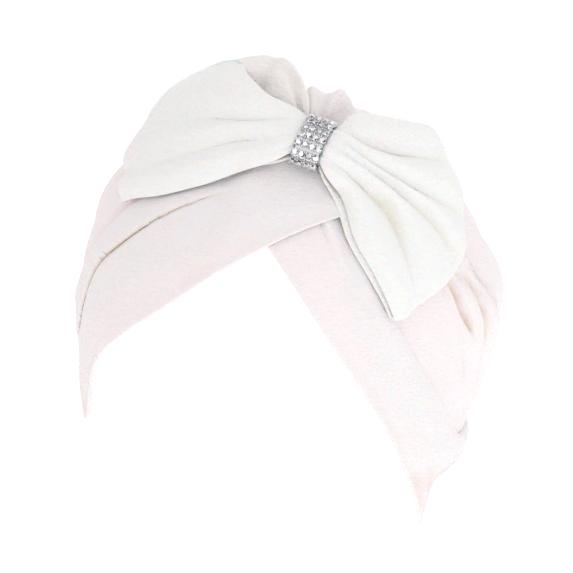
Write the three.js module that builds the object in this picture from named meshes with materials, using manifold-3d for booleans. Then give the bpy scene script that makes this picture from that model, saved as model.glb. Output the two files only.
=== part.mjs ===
// Turban hat: a hollow crepe crown with pleats that fan out from a knot at the front, two wide
// bands that cross at the front centre, a bow of two loops, and a band of cut stones round the
// bow's centre. It keeps the form that it has when it is worn.
//
// Millimetres. +Z is up, the front faces -Y and the wearer's left side is +X. The origin is the
// top of the wearer's head, just inside the top of the crown.

import * as THREE from 'three';
import { mergeVertices } from 'three/addons/utils/BufferGeometryUtils.js';
import Module from 'manifold-3d';

const wasm = await Module();
wasm.setup();

// Head hollow: half sizes of the worn form, measured at its widest
const HEAD_HALF_WIDTH = 79;
const HEAD_HALF_DEPTH = 98;
const HEAD_HALF_HEIGHT = 97;
const HEAD_EGG = 0.05;            // how much narrower the front is than the back

// How far the cloth stands off the sides of the head, in millimetres on the wearer's right and
// left. rise: degrees above the widest level.
const FULLNESS = [
  { rise: -46, right: -2, left: 2 },
  { rise: -34, right: 0, left: 5 },
  { rise: -24, right: 2.5, left: 7 },
  { rise: -16, right: 6, left: 5.5 },
  { rise: -8, right: 10, left: 5 },
  { rise: 0, right: 11.5, left: 5.5 },
  { rise: 10, right: 11, left: 7 },
  { rise: 20, right: 10, left: 8 },
  { rise: 30, right: 8.5, left: 6.5 },
  { rise: 42, right: 4, left: 3 },
  { rise: 60, right: 0, left: 0 },
];

// Cloth walls
const CROWN_WALL = 1.4;
const BAND_WALL = 1.6;
const BOW_WALL = 1.6;
const CROWN_LIFT = 1.4;           // middle of the crown's wall above the head
const BAND_LIFT = 4.1;            // middle of a band's wall above the head
const BAND_CLEAR_FROM = 3;         // degrees above a band where the crown starts to stand up
const BAND_CLEAR_TO = 10;          // degrees above a band where it stands as high as it will
const CROWN_RIM_SHARE = 0.3;      // the crown ends this far up the bands' width
const CROSSING_LIFT = 6.5;        // the same where the left band lies on the right one

// Knot: the point that the pleats and the bow's loops fan out from
const KNOT_TURN = 4.6;            // degrees from the front towards the wearer's left
const KNOT_RISE = 46;             // degrees above the widest level
const KNOT_TILT = -13;            // degrees that the bow's centre leans in the cap's surface
const KNOT_LIFT = 14.7;           // middle of the bow's centre above the head
const BUNDLE_HALF_LENGTH = 8.0;   // along the bow
const BUNDLE_HALF_HEIGHT = 9.6;   // up over the bow
const BUNDLE_HALF_DEPTH = 6.0;    // away from the head
const LOOP_SEAT = 0.4;            // how far a loop reaches over the end of the bow's centre

// How the bow's loops leave its centre, in shares of a loop's length or of the half oval
const LOOP_START = 0.08;          // where a fold's line begins, away from the knot
const LOOP_EDGE = 0.08;           // between a loop's long edge and the oval's tip
const LOOP_PINCH = 0.42;          // how far out the gathered centre draws the cloth in
const LOOP_DEPTH = 0.6;           // a layer's first lift, of the centre's half depth
const LOOP_TURN = 0.62;           // bulge of the loop's end, of the distance between its layers
const BUNDLE_FLUTES = 9;
const BUNDLE_FLUTE_DEPTH = 0.35;

// Stone band
const STRIP_HALF_WIDTH = 6.3;
const STRIP_WALL = 0.9;
const STRIP_GAP = 0.6;            // between the strip and the cloth that it holds
const STONE_COLUMNS = 4;
const STONE_ROWS = 9;
const STONE_ARC = 214;            // degrees of the ring that carry stones
const STONE_TABLE = 0.9;
const STONE_HEIGHT = 1.3;
const CUP_RADIUS = 1.5;
const CUP_HEIGHT = 0.6;

// Lower and upper edge of each band. turn: degrees round the head from the front, positive
// towards the wearer's left. low, high: degrees above the widest level.
const RIGHT_BAND = [
  { turn: -8, low: 27, high: 40 },
  { turn: 0, low: 21.5, high: 41 },
  { turn: 13, low: 11, high: 38 },
  { turn: 25, low: 1.5, high: 27 },
  { turn: 38, low: -8, high: 11.5 },
  { turn: 52, low: -19, high: 0.5 },
  { turn: 65, low: -29.5, high: -7.5 },
  { turn: 78, low: -38, high: -13.5 },
  { turn: 87, low: -44.5, high: -17.5 },
  { turn: 92, low: -40, high: -19.5 },
  { turn: 102, low: -31, high: -20 },
  { turn: 118, low: -24.5, high: -18 },
  { turn: 145, low: -20, high: -13.5 },
  { turn: 179.8, low: -17.5, high: -11 },
];
const LEFT_BAND = [
  { turn: 22, low: 31, high: 43 },
  { turn: 10, low: 26, high: 43 },
  { turn: -1, low: 20, high: 43 },
  { turn: -13, low: 9.5, high: 42 },
  { turn: -26, low: -0.5, high: 37.5 },
  { turn: -38, low: -9, high: 29.5 },
  { turn: -52, low: -19, high: 18.5 },
  { turn: -65, low: -30, high: 8 },
  { turn: -78, low: -38, high: -2 },
  { turn: -87, low: -43, high: -9 },
  { turn: -92, low: -39, high: -12 },
  { turn: -102, low: -29, high: -15 },
  { turn: -118, low: -23.5, high: -16 },
  { turn: -145, low: -20, high: -13.5 },
  { turn: -179.8, low: -17.5, high: -11 },
];

// Pleats of the crown. bearing: degrees round the knot, 0 over the top of the head and positive
// towards the wearer's left. rise: how far the fold stands up, in millimetres.
const CROWN_PLEATS = [
  { bearing: -118, rise: 1.2 },
  { bearing: -100, rise: 2.4 },
  { bearing: -82, rise: 1.6 },
  { bearing: -62, rise: 1.4 },
  { bearing: -40, rise: 1.4 },
  { bearing: -18, rise: 1.6 },
  { bearing: 4, rise: 1.8 },
  { bearing: 28, rise: 1 },
  { bearing: 50, rise: 0.8 },
  { bearing: 70, rise: 2.2 },
  { bearing: 87, rise: 2.8 },
  { bearing: 96, rise: 2.6 },
  { bearing: 104, rise: 2.4 },
  { bearing: 122, rise: 1.2 },
];

// Swellings of the crown: bearing and spread round the knot, reach and run away from it, in
// degrees, and how far the cloth swells, in millimetres.
const CROWN_SWELLS = [
  { bearing: -13, spread: 8, reach: 19, run: 8, swell: 5 },
  { bearing: 8, spread: 9, reach: 20, run: 8, swell: 8 },
  { bearing: 86, spread: 15, reach: 67, run: 13, swell: 6 },
  { bearing: 36, spread: 20, reach: 40, run: 20, swell: -4.2 },
  { bearing: 0, spread: 55, reach: 112, run: 26, swell: 4 },
];

// Folds of the bow's loops, row by row from one long edge to the other. start, end: bearing
// round the knot near it and at the loop's end. reach: the end's distance from the knot, in
// degrees. lift: how far the fold stands off the head at the end, and belly: how much more it
// stands off halfway, in millimetres.
const LEFT_LOOP_FRONT = [
  { start: -142, end: -108, reach: 46, lift: 14, belly: 0 },
  { start: -122, end: -104, reach: 47.5, lift: 20, belly: 1 },
  { start: -103, end: -100, reach: 45.5, lift: 17, belly: 0 },
  { start: -91, end: -90, reach: 46, lift: 23, belly: 2 },
  { start: -78, end: -80, reach: 42, lift: 21, belly: 1 },
  { start: -65, end: -69, reach: 40, lift: 26, belly: 2 },
  { start: -48, end: -57, reach: 37, lift: 26, belly: 0 },
];
const LEFT_LOOP_BACK = [
  { start: -130, end: -106, reach: 43, lift: 9, belly: 0 },
  { start: -112, end: -102, reach: 43, lift: 11, belly: 0 },
  { start: -96, end: -96, reach: 42, lift: 11, belly: 0 },
  { start: -78, end: -84, reach: 41, lift: 12, belly: 0 },
  { start: -54, end: -70, reach: 39, lift: 15, belly: 2 },
  { start: -30, end: -56, reach: 35, lift: 20, belly: 5 },
  { start: -15, end: -45, reach: 31, lift: 23, belly: 6 },
];
const RIGHT_LOOP_FRONT = [
  { start: 152, end: 132, reach: 44, lift: 13, belly: 0 },
  { start: 138, end: 128, reach: 45, lift: 19, belly: 2 },
  { start: 118, end: 123, reach: 44, lift: 15, belly: 0 },
  { start: 113, end: 114, reach: 46, lift: 22, belly: 2 },
  { start: 108, end: 105, reach: 44, lift: 18, belly: 0 },
  { start: 102, end: 97, reach: 45, lift: 23, belly: 2 },
  { start: 94, end: 88, reach: 42, lift: 18, belly: 0 },
  { start: 84, end: 79, reach: 38, lift: 22, belly: 2 },
  { start: 72, end: 70, reach: 34, lift: 19, belly: 0 },
  { start: 52, end: 61, reach: 31, lift: 22, belly: 1 },
  { start: 28, end: 52, reach: 29, lift: 20, belly: 0 },
];
const RIGHT_LOOP_BACK = [
  { start: 142, end: 130, reach: 41, lift: 9, belly: 0 },
  { start: 124, end: 122, reach: 41, lift: 10, belly: 0 },
  { start: 104, end: 104, reach: 41, lift: 11, belly: 0 },
  { start: 86, end: 86, reach: 37, lift: 11.5, belly: 0 },
  { start: 60, end: 70, reach: 32, lift: 12, belly: 0 },
  { start: 34, end: 54, reach: 27, lift: 13, belly: 0 },
];

// How finely the cloth is faceted
const CROWN_STEPS_ROUND = 64;
const CROWN_STEPS_OUT = 14;
const BAND_STEPS_ALONG = 38;
const BAND_STEPS_ACROSS = 4;
const LOOP_STEPS_OUT = 8;
const LOOP_STEPS_TURN = 3;
const LOOP_STEPS_ACROSS = 17;

// Search for the crown's rim, in degrees away from the knot
const RIM_SEARCH_FROM = 8;
const RIM_SEARCH_TO = 158;
const RIM_SEARCH_HALVINGS = 24;

const radians = THREE.MathUtils.degToRad;
const degrees = THREE.MathUtils.radToDeg;

function smooth(value, from, to) {
  return THREE.MathUtils.smoothstep(value, from, to);
}

function bump(distance, spread) {
  return Math.exp(-((distance / spread) ** 2));
}

// Value of one column of a table at a place between its rows, on a smooth curve through them
function along(table, column, place) {
  const last = table.length - 1;
  const row = Math.min(Math.max(Math.floor(place), 0), last - 1);
  const part = place - row;
  const before = table[Math.max(row - 1, 0)][column];
  const from = table[row][column];
  const to = table[row + 1][column];
  const after = table[Math.min(row + 2, last)][column];
  const bend = (to - before) / 2;
  const nextBend = (after - from) / 2;
  const square = part * part;
  const cube = square * part;
  return from * (2 * cube - 3 * square + 1) + bend * (cube - 2 * square + part)
    + to * (3 * square - 2 * cube) + nextBend * (cube - square);
}

// Place between a table's rows where the key column has the wanted value
function placeOf(table, key, wanted) {
  const last = table.length - 1;
  const sign = Math.sign(table[last][key] - table[0][key]);
  for (let row = 0; row < last; row += 1) {
    const from = table[row][key];
    const to = table[row + 1][key];
    if (sign * wanted <= sign * to || row === last - 1) {
      return row + THREE.MathUtils.clamp((wanted - from) / (to - from), 0, 1);
    }
  }
  return last;
}

// Direction from the head's middle at a turn round it and a rise above its widest level
function direction(turn, rise) {
  const flat = Math.cos(rise);
  return new THREE.Vector3(flat * Math.sin(turn), -flat * Math.cos(turn), Math.sin(rise));
}

// Point that lies off the head's surface by lift, in the given direction. Below its widest
// level the head narrows only half as fast.
function onHead(toward, lift) {
  const rise = Math.asin(THREE.MathUtils.clamp(toward.z, -1, 1));
  const turn = Math.atan2(toward.x, -toward.y);
  const ring = Math.cos(rise >= 0 ? rise : rise / 2);
  const side = turn < 0 ? 'right' : 'left';
  const fullness = along(FULLNESS, side, placeOf(FULLNESS, 'rise', degrees(rise)));
  const full = lift + fullness * Math.sin(turn) ** 2;
  const egg = 1 - HEAD_EGG * Math.cos(turn);
  return new THREE.Vector3(
    (HEAD_HALF_WIDTH + full) * egg * ring * Math.sin(turn),
    -(HEAD_HALF_DEPTH + full) * ring * Math.cos(turn),
    (HEAD_HALF_HEIGHT + lift) * Math.sin(rise),
  );
}

// Axes at the knot: straight out of the head, up over its top, and to the wearer's left
const knotOut = direction(radians(KNOT_TURN), radians(KNOT_RISE));
const knotSide = new THREE.Vector3(Math.cos(radians(KNOT_TURN)), Math.sin(radians(KNOT_TURN)), 0);
const knotUp = new THREE.Vector3().crossVectors(knotOut, knotSide);

// Direction at a bearing round the knot and a reach away from it, in degrees
function fromKnot(bearing, reach) {
  const angle = radians(bearing);
  const away = radians(reach);
  return knotOut.clone().multiplyScalar(Math.cos(away))
    .addScaledVector(knotUp, Math.cos(angle) * Math.sin(away))
    .addScaledVector(knotSide, Math.sin(angle) * Math.sin(away));
}

// Frame of the bow's centre, leaning by the knot's tilt
const bowAlong = knotSide.clone().applyAxisAngle(knotOut, radians(KNOT_TILT));
const bowUp = knotUp.clone().applyAxisAngle(knotOut, radians(KNOT_TILT));
const bowCentre = onHead(knotOut, KNOT_LIFT);

function atBow(along, up, out) {
  return bowCentre.clone().addScaledVector(bowAlong, along).addScaledVector(bowUp, up)
    .addScaledVector(knotOut, out);
}

// Closed body between an outer and an inner grid of points with the same rows and columns.
// Where the rows go all the way round, first and last column are joined and the first row is
// one point.
function closedBody(outer, inner, goesRound) {
  const rows = outer.length;
  const columns = outer[0].length;
  const positions = [];
  const indices = [];
  for (const grid of [outer, inner]) {
    for (const row of grid) {
      for (const point of row) {
        positions.push(point.x, point.y, point.z);
      }
    }
  }
  const at = (side, row, column) => (side * rows + row) * columns + (column % columns);
  const quad = (a, b, c, d) => indices.push(a, b, c, a, c, d);
  const columnSteps = goesRound ? columns : columns - 1;
  for (let row = 0; row < rows - 1; row += 1) {
    for (let column = 0; column < columnSteps; column += 1) {
      quad(at(0, row, column), at(0, row, column + 1),
        at(0, row + 1, column + 1), at(0, row + 1, column));
      quad(at(1, row, column), at(1, row + 1, column),
        at(1, row + 1, column + 1), at(1, row, column + 1));
    }
  }
  for (let column = 0; column < columnSteps; column += 1) {
    quad(at(0, rows - 1, column), at(0, rows - 1, column + 1),
      at(1, rows - 1, column + 1), at(1, rows - 1, column));
    if (!goesRound) {
      quad(at(0, 0, column), at(1, 0, column), at(1, 0, column + 1), at(0, 0, column + 1));
    }
  }
  if (!goesRound) {
    for (let row = 0; row < rows - 1; row += 1) {
      quad(at(0, row, 0), at(0, row + 1, 0), at(1, row + 1, 0), at(1, row, 0));
      quad(at(0, row, columns - 1), at(1, row, columns - 1),
        at(1, row + 1, columns - 1), at(0, row + 1, columns - 1));
    }
  }
  const geometry = new THREE.BufferGeometry();
  geometry.setAttribute('position', new THREE.Float32BufferAttribute(positions, 3));
  geometry.setIndex(indices);
  return geometry;
}

// Solid for joining and cutting, turned the right way out
function solidOf(geometry) {
  const plain = geometry.clone();
  plain.deleteAttribute('normal');
  plain.deleteAttribute('uv');
  const merged = mergeVertices(plain, 1e-4);
  const triVerts = [];
  const index = merged.index.array;
  for (let i = 0; i < index.length; i += 3) {
    const [a, b, c] = [index[i], index[i + 1], index[i + 2]];
    if (a !== b && b !== c && c !== a) {
      triVerts.push(a, b, c);
    }
  }
  const vertProperties = new Float32Array(merged.attributes.position.array);
  const build = (triangles) => new wasm.Manifold(new wasm.Mesh({
    numProp: 3, vertProperties, triVerts: new Uint32Array(triangles),
  }));
  const solid = build(triVerts);
  if (solid.volume() > 0) {
    return solid;
  }
  const turned = [];
  for (let i = 0; i < triVerts.length; i += 3) {
    turned.push(triVerts[i], triVerts[i + 2], triVerts[i + 1]);
  }
  return build(turned);
}

function geometryOf(solid) {
  const mesh = solid.getMesh();
  const geometry = new THREE.BufferGeometry();
  geometry.setAttribute('position', new THREE.BufferAttribute(mesh.vertProperties, 3));
  geometry.setIndex(new THREE.BufferAttribute(mesh.triVerts, 1));
  geometry.computeVertexNormals();
  return geometry;
}

// Height between the bands' lower and upper edges at a turn round the head, in degrees
function bandLevel(turn, share) {
  let level = -90;
  for (const band of [RIGHT_BAND, LEFT_BAND]) {
    const first = band[0].turn;
    const last = band[band.length - 1].turn;
    if (turn >= Math.min(first, last) - 2 && turn <= Math.max(first, last) + 2) {
      const place = placeOf(band, 'turn', turn);
      const low = along(band, 'low', place);
      const high = along(band, 'high', place);
      level = Math.max(level, low + (high - low) * share);
    }
  }
  return level;
}

function turnOf(toward) {
  return degrees(Math.atan2(toward.x, -toward.y));
}

function riseOf(toward) {
  return degrees(Math.asin(THREE.MathUtils.clamp(toward.z, -1, 1)));
}

// Reach at which the crown's cloth ends, under the bands
function rimReach(bearing) {
  let near = RIM_SEARCH_FROM;
  let far = RIM_SEARCH_TO;
  for (let half = 0; half < RIM_SEARCH_HALVINGS; half += 1) {
    const middle = (near + far) / 2;
    const toward = fromKnot(bearing, middle);
    if (riseOf(toward) > bandLevel(turnOf(toward), CROWN_RIM_SHARE)) {
      near = middle;
    } else {
      far = middle;
    }
  }
  return (near + far) / 2;
}

// How far the crown's cloth stands up at a bearing: each pleat climbs slowly and drops fast
function pleatRelief(bearing) {
  let relief = 0;
  CROWN_PLEATS.forEach((pleat, index) => {
    const next = CROWN_PLEATS[(index + 1) % CROWN_PLEATS.length];
    const width = (next.bearing - pleat.bearing + 360) % 360;
    const away = (bearing - pleat.bearing + 360) % 360;
    if (away < width) {
      const part = away / width;
      const climb = smooth(part, 0, 0.3) * pleat.rise;
      relief = climb * (1 - smooth(part, 0.62, 1));
    }
  });
  return relief;
}

// Lift of the crown's wall above the head
function crownLift(bearing, reach, toward) {
  const aboveBands = riseOf(toward) - bandLevel(turnOf(toward), 1);
  const clearOfBands = smooth(aboveBands, BAND_CLEAR_FROM, BAND_CLEAR_TO);
  const grown = smooth(reach, 10, 40) * (1 - 0.6 * smooth(reach, 95, 135));
  let lift = pleatRelief(bearing) * grown;
  for (const swell of CROWN_SWELLS) {
    const aside = ((bearing - swell.bearing + 540) % 360) - 180;
    lift += swell.swell * bump(aside, swell.spread) * bump(reach - swell.reach, swell.run)
      * smooth(reach, 3, 14);
  }
  return CROWN_LIFT + lift * clearOfBands;
}

function crownGeometry() {
  const outer = [];
  const inner = [];
  for (let step = 0; step <= CROWN_STEPS_OUT; step += 1) {
    const outerRow = [];
    const innerRow = [];
    for (let round = 0; round < CROWN_STEPS_ROUND; round += 1) {
      const bearing = (360 * round) / CROWN_STEPS_ROUND - 180;
      const reach = (rimReach(bearing) * step) / CROWN_STEPS_OUT;
      const toward = fromKnot(bearing, reach);
      const lift = crownLift(bearing, reach, toward);
      outerRow.push(onHead(toward, lift + CROWN_WALL / 2));
      innerRow.push(onHead(toward, lift - CROWN_WALL / 2));
    }
    outer.push(outerRow);
    inner.push(innerRow);
  }
  return geometryOf(solidOf(closedBody(outer, inner, true)));
}

// Strip of doubled cloth between a table's lower and upper edge
function bandGeometry(table, liftAt) {
  const outer = [];
  const inner = [];
  const last = table.length - 1;
  for (let step = 0; step <= BAND_STEPS_ALONG; step += 1) {
    const place = (last * step) / BAND_STEPS_ALONG;
    const turn = along(table, 'turn', place);
    const low = along(table, 'low', place);
    const high = along(table, 'high', place);
    const outerRow = [];
    const innerRow = [];
    for (let across = 0; across <= BAND_STEPS_ACROSS; across += 1) {
      const rise = low + ((high - low) * across) / BAND_STEPS_ACROSS;
      const toward = direction(radians(turn), radians(rise));
      outerRow.push(onHead(toward, liftAt(turn) + BAND_WALL / 2));
      innerRow.push(onHead(toward, liftAt(turn) - BAND_WALL / 2));
    }
    outer.push(outerRow);
    inner.push(innerRow);
  }
  return geometryOf(solidOf(closedBody(outer, inner, false)));
}

// Point on the bow's centre: half turns round its oval, from its lower to its upper edge
function onBundle(along, angle, shrink) {
  const flute = 1 + (BUNDLE_FLUTE_DEPTH / BUNDLE_HALF_DEPTH)
    * Math.cos(BUNDLE_FLUTES * angle) - shrink / BUNDLE_HALF_DEPTH;
  return atBow(along, -Math.cos(angle) * BUNDLE_HALF_HEIGHT * flute,
    Math.sin(angle) * BUNDLE_HALF_DEPTH * flute);
}

// Point of one layer of a loop, out from the knot and across its folds
function layerPoint(table, side, face, out, across) {
  const place = across * (table.length - 1);
  const start = along(table, 'start', place);
  const end = along(table, 'end', place);
  const reach = along(table, 'reach', place);
  const endLift = along(table, 'lift', place);
  const bearing = start + (end - start) * smooth(out, 0, 0.8);
  const near = KNOT_LIFT + face * BUNDLE_HALF_DEPTH * LOOP_DEPTH;
  const lift = near + (endLift - near) * smooth(out, 0.05, 0.9)
    + along(table, 'belly', place) * Math.sin(Math.PI * out);
  const fan = onHead(fromKnot(bearing, reach * (LOOP_START + (1 - LOOP_START) * out)), lift);
  const fanStart = onHead(fromKnot(start, reach * LOOP_START), near);
  const angle = Math.PI * (LOOP_EDGE + (1 - 2 * LOOP_EDGE) * across) * face;
  const atKnot = onBundle(side * (BUNDLE_HALF_LENGTH - LOOP_SEAT), angle, BOW_WALL / 2);
  const pull = 1 - smooth(out, 0, LOOP_PINCH);
  return fan.addScaledVector(atKnot.sub(fanStart), pull);
}

// Loop of cloth: out over the front, round its end and back to the knot against the crown
function loopGeometry(front, back, side) {
  const middle = [];
  const tangentStep = 0.02;
  for (let across = 0; across <= LOOP_STEPS_ACROSS; across += 1) {
    const part = across / LOOP_STEPS_ACROSS;
    const line = [];
    for (let step = 0; step <= LOOP_STEPS_OUT; step += 1) {
      line.push(layerPoint(front, side, 1, step / LOOP_STEPS_OUT, part));
    }
    const frontEnd = line[line.length - 1];
    const frontWay = frontEnd.clone().sub(layerPoint(front, side, 1, 1 - tangentStep, part))
      .normalize();
    const backEnd = layerPoint(back, side, -1, 1, part);
    const bulge = frontEnd.distanceTo(backEnd) * LOOP_TURN;
    const turn = new THREE.CubicBezierCurve3(
      frontEnd, frontEnd.clone().addScaledVector(frontWay, bulge),
      backEnd.clone().addScaledVector(frontWay, bulge), backEnd,
    );
    for (let step = 1; step < LOOP_STEPS_TURN; step += 1) {
      line.push(turn.getPoint(step / LOOP_STEPS_TURN));
    }
    for (let step = LOOP_STEPS_OUT; step >= 0; step -= 1) {
      line.push(layerPoint(back, side, -1, step / LOOP_STEPS_OUT, part));
    }
    middle.push(line);
  }
  return sheetGeometry(middle, BOW_WALL);
}

// Wall of even thickness about a grid of points
function sheetGeometry(grid, wall) {
  const rows = grid.length;
  const columns = grid[0].length;
  const outer = [];
  const inner = [];
  for (let row = 0; row < rows; row += 1) {
    const outerRow = [];
    const innerRow = [];
    for (let column = 0; column < columns; column += 1) {
      const acrossWay = grid[Math.min(row + 1, rows - 1)][column].clone()
        .sub(grid[Math.max(row - 1, 0)][column]);
      const alongWay = grid[row][Math.min(column + 1, columns - 1)].clone()
        .sub(grid[row][Math.max(column - 1, 0)]);
      const normal = acrossWay.cross(alongWay).normalize();
      outerRow.push(grid[row][column].clone().addScaledVector(normal, wall / 2));
      innerRow.push(grid[row][column].clone().addScaledVector(normal, -wall / 2));
    }
    outer.push(outerRow);
    inner.push(innerRow);
  }
  return closedBody(outer, inner, false);
}

// Fluted barrel of gathered cloth that the stone band holds
function bundleGeometry() {
  const outline = new THREE.Shape();
  const corners = BUNDLE_FLUTES * 4;
  for (let corner = 0; corner < corners; corner += 1) {
    const angle = (2 * Math.PI * corner) / corners;
    const flute = 1 + (BUNDLE_FLUTE_DEPTH / BUNDLE_HALF_DEPTH) * Math.cos(BUNDLE_FLUTES * angle);
    const up = -Math.cos(angle) * BUNDLE_HALF_HEIGHT * flute;
    const out = Math.sin(angle) * BUNDLE_HALF_DEPTH * flute;
    if (corner === 0) {
      outline.moveTo(up, out);
    } else {
      outline.lineTo(up, out);
    }
  }
  outline.closePath();
  const geometry = new THREE.ExtrudeGeometry(outline, {
    depth: 2 * BUNDLE_HALF_LENGTH, bevelEnabled: false, steps: 1,
  });
  geometry.translate(0, 0, -BUNDLE_HALF_LENGTH);
  return placeAtBow(geometry);
}

// Turns a shape drawn with x up the bow, y away from the head and z along the bow
function placeAtBow(geometry) {
  const frame = new THREE.Matrix4().makeBasis(bowUp, knotOut, bowAlong);
  frame.setPosition(bowCentre);
  return geometry.applyMatrix4(frame);
}

function bowGeometry() {
  const left = solidOf(loopGeometry(LEFT_LOOP_FRONT, LEFT_LOOP_BACK, -1));
  const right = solidOf(loopGeometry(RIGHT_LOOP_FRONT, RIGHT_LOOP_BACK, 1));
  const bundle = solidOf(bundleGeometry());
  return geometryOf(bundle.add(left).add(right));
}

// Half sizes of the oval at the strip's inner face
const stripHalfHeight = BUNDLE_HALF_HEIGHT + BUNDLE_FLUTE_DEPTH + STRIP_GAP;
const stripHalfDepth = BUNDLE_HALF_DEPTH + BUNDLE_FLUTE_DEPTH + STRIP_GAP;

function stripGeometry() {
  const outline = new THREE.Shape();
  outline.absellipse(0, 0, stripHalfHeight + STRIP_WALL, stripHalfDepth + STRIP_WALL,
    0, 2 * Math.PI, false, 0);
  const hole = new THREE.Path();
  hole.absellipse(0, 0, stripHalfHeight, stripHalfDepth, 0, 2 * Math.PI, true, 0);
  outline.holes.push(hole);
  const geometry = new THREE.ExtrudeGeometry(outline, {
    depth: 2 * STRIP_HALF_WIDTH, bevelEnabled: false, steps: 1, curveSegments: 14,
  });
  geometry.translate(0, 0, -STRIP_HALF_WIDTH);
  return placeAtBow(geometry);
}

// Stone with a table and eight facets, standing in a round cup
function stoneGeometry() {
  const profile = [
    new THREE.Vector2(0, -STRIP_WALL / 2),
    new THREE.Vector2(CUP_RADIUS, -STRIP_WALL / 2),
    new THREE.Vector2(CUP_RADIUS, CUP_HEIGHT),
    new THREE.Vector2(STONE_TABLE, STONE_HEIGHT),
    new THREE.Vector2(0, STONE_HEIGHT),
  ];
  return new THREE.LatheGeometry(profile, 8);
}

function stoneBandGeometry() {
  let band = solidOf(stripGeometry());
  const columnPitch = (2 * STRIP_HALF_WIDTH) / STONE_COLUMNS;
  const stone = stoneGeometry();
  const halfHeight = stripHalfHeight + STRIP_WALL;
  const halfDepth = stripHalfDepth + STRIP_WALL;
  for (let row = 0; row < STONE_ROWS; row += 1) {
    const angle = radians(90 + STONE_ARC * ((row + 0.5) / STONE_ROWS - 0.5));
    const foot = new THREE.Vector3(Math.cos(angle) * halfHeight, Math.sin(angle) * halfDepth, 0);
    const out = new THREE.Vector3(Math.cos(angle) * halfDepth, Math.sin(angle) * halfHeight, 0)
      .normalize();
    const turn = new THREE.Quaternion().setFromUnitVectors(new THREE.Vector3(0, 1, 0), out);
    for (let column = 0; column < STONE_COLUMNS; column += 1) {
      const along = (column + 0.5) * columnPitch - STRIP_HALF_WIDTH;
      const place = new THREE.Matrix4().compose(
        foot.clone().setZ(along), turn, new THREE.Vector3(1, 1, 1),
      );
      band = band.add(solidOf(placeAtBow(stone.clone().applyMatrix4(place))));
    }
  }
  return geometryOf(band);
}

// Lift of the left band: it climbs over the right band at the front
function leftBandLift(turn) {
  return BAND_LIFT + (CROSSING_LIFT - BAND_LIFT) * smooth(turn, -22, -10);
}

function rightBandLift() {
  return BAND_LIFT;
}

const warmCrepe = new THREE.MeshStandardMaterial({ color: '#f7f2ee', roughness: 0.85 });
const crownCrepe = new THREE.MeshStandardMaterial({ color: '#f6efee', roughness: 0.88 });
const cutStones = new THREE.MeshStandardMaterial({
  color: '#c9ccd0', roughness: 0.16, metalness: 0.8,
});

function piece(name, geometry, material) {
  const mesh = new THREE.Mesh(geometry, material);
  mesh.name = name;
  return mesh;
}

const hat = new THREE.Group();
hat.position.z = -HEAD_HALF_HEIGHT;
hat.add(
  piece('crown', crownGeometry(), crownCrepe),
  piece('band_right', bandGeometry(RIGHT_BAND, rightBandLift), crownCrepe),
  piece('band_left', bandGeometry(LEFT_BAND, leftBandLift), crownCrepe),
  piece('bow', bowGeometry(), warmCrepe),
  piece('stone_band', stoneBandGeometry(), cutStones),
);

export default hat;
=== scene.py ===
"""Turban hat in crepe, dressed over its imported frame.

The crown is a pleated cap, two folded bands cross at the front, and a bow of two loops is held
by a band of cut stones. Left and right are those of the front view, with +X on the right. Tables
are in millimetres and degrees about the middle of the head, and finished pieces are in metres in
the frame's own axes.
"""
import math

import bpy
import numpy as np
from mathutils import Matrix, Vector


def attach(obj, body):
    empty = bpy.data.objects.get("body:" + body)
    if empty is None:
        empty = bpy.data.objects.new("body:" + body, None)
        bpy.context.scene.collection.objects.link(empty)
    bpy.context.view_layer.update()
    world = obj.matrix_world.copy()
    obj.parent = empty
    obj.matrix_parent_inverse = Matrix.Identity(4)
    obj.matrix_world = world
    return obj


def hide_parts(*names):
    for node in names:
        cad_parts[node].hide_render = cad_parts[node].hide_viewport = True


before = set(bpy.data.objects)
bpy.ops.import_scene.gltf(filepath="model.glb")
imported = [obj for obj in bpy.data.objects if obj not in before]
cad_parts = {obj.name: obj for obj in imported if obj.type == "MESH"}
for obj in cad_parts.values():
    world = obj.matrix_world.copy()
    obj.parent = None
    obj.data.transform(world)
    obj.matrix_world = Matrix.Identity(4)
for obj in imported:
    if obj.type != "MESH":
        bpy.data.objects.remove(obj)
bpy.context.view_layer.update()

bl_info = {
    "name": "Turban Hat",
    "version": (1, 0, 0),
    "blender": (4, 5, 0),
    "location": "View3D > Sidebar > Turban",
    "description": "Crepe turban hat with a bow and a band of cut stones",
    "category": "Add Mesh",
}

BODY = "root"

# The tables' millimetres against Blender's metres
TO_MM = 1000
TO_METRES = 0.001

# Head form that the cap is shaped on, in millimetres
HEAD_HALF_WIDTH = 79.0
HEAD_HALF_DEPTH = 98.0
HEAD_HALF_HEIGHT = 97.0
HEAD_EGG = 0.05

# How far the cloth stands off on the left and right, by degrees above the widest level
FULLNESS = np.array([
    (-46, -4, 1),
    (-34, -2, 3),
    (-24, 0.8, 5),
    (-16, 4, 4.8),
    (-8, 7.8, 4.8),
    (0, 9.2, 4.6),
    (10, 10.8, 6.4),
    (20, 11.5, 7.2),
    (30, 9.5, 4.8),
    (42, 5, 2.4),
    (60, 0, 0),
], float)

CROWN_LIFT = 1.4
BAND_LIFT = 4.1
CROSSING_LIFT = 6.5
CROWN_RIM_SHARE = 0.3

# Knot of the bow
KNOT_TURN = 4.6
KNOT_RISE = 46.0
KNOT_TILT = -8.0
KNOT_LIFT = 13.6
KNOT_SHIFT_SIDE = 1.3
KNOT_SHIFT_UP = -1.7
BUNDLE_HALF_LENGTH = 6.2
BUNDLE_HALF_HEIGHT = 9.6
BUNDLE_HALF_DEPTH = 6.0
BUNDLE_CLEARANCE = 0.9
LOOP_SEAT = 0.4
LOOP_START = 0.08
LOOP_EDGE = 0.08
LOOP_PINCH = 0.34
LOOP_TURN = 0.5

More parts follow.
